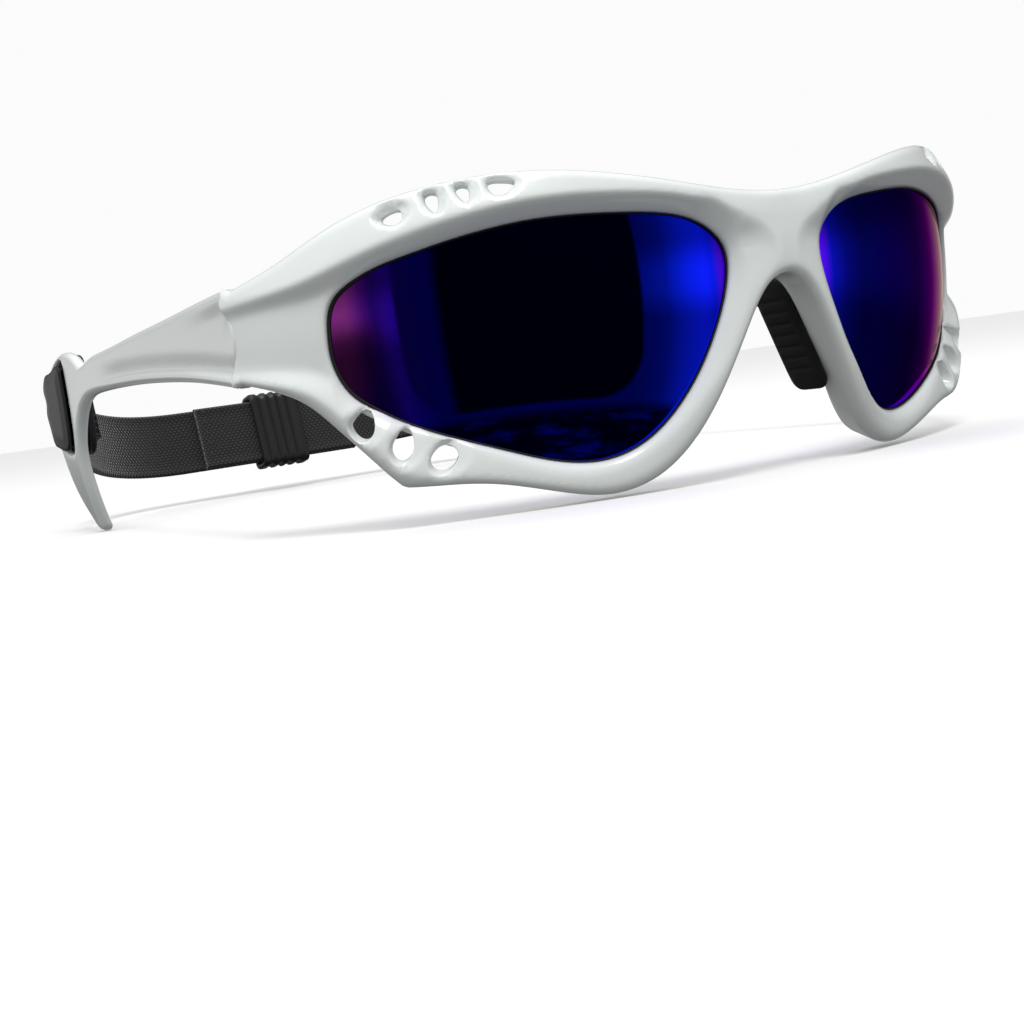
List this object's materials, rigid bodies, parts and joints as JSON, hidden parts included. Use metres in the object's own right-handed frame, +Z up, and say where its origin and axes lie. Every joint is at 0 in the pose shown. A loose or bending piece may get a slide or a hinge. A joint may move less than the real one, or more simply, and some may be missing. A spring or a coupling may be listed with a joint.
{
  "type": "wraparound sport sunglasses",
  "caption": "Wraparound sport sunglasses: vented rigid frame, curved mirror lenses, folding temples with moulded loops and an elastic head strap.",
  "frame": {"origin": "centre of the bounding box in X and Y, on the surface that the rims and the temple tips rest on", "axes": "+X to the wearer's left, +Y back from the face towards the ears, +Z up"},
  "size_m": [0.1412, 0.1967, 0.0469],
  "materials": {
    "frame_white": "gloss white moulded nylon",
    "lens_mirror": "blue to violet mirror coat on smoke polycarbonate",
    "pad_rubber": "matt black rubber",
    "screw_steel": "plain steel",
    "anchor_plastic": "matt black moulded plastic",
    "webbing": "woven black elastic webbing"
  },
  "bodies": {
    "front": {"front_frame": "frame_white", "lens_left": "lens_mirror", "lens_right": "lens_mirror", "nose_pad_left": "pad_rubber", "nose_pad_right": "pad_rubber", "hinge_screw_left": "screw_steel", "hinge_screw_right": "screw_steel"},
    "temple_left": {"temple_left": "frame_white", "strap_anchor_left": "anchor_plastic", "strap_left": "webbing"},
    "temple_right": {"temple_right": "frame_white", "strap_anchor_right": "anchor_plastic", "strap_right": "webbing"},
    "slider": {"strap_slider": "anchor_plastic"}
  },
  "joints": [
    {"name": "temple_left_fold", "type": "hinge", "parent": "front", "child": "temple_left", "pos_m": [0.0642, -0.0569, 0.03], "axis": [0, 0, 1], "range_deg": [0, 92], "deforming": ["strap_left"]},
    {"name": "temple_right_fold", "type": "hinge", "parent": "front", "child": "temple_right", "pos_m": [-0.0642, -0.0569, 0.03], "axis": [0, 0, -1], "range_deg": [0, 82], "deforming": ["strap_right"]},
    {"name": "strap_slider_slide", "type": "slide", "parent": "front", "child": "slider", "axis": [1, 0, 0], "range_m": [-0.012, 0.012]}
  ]
}
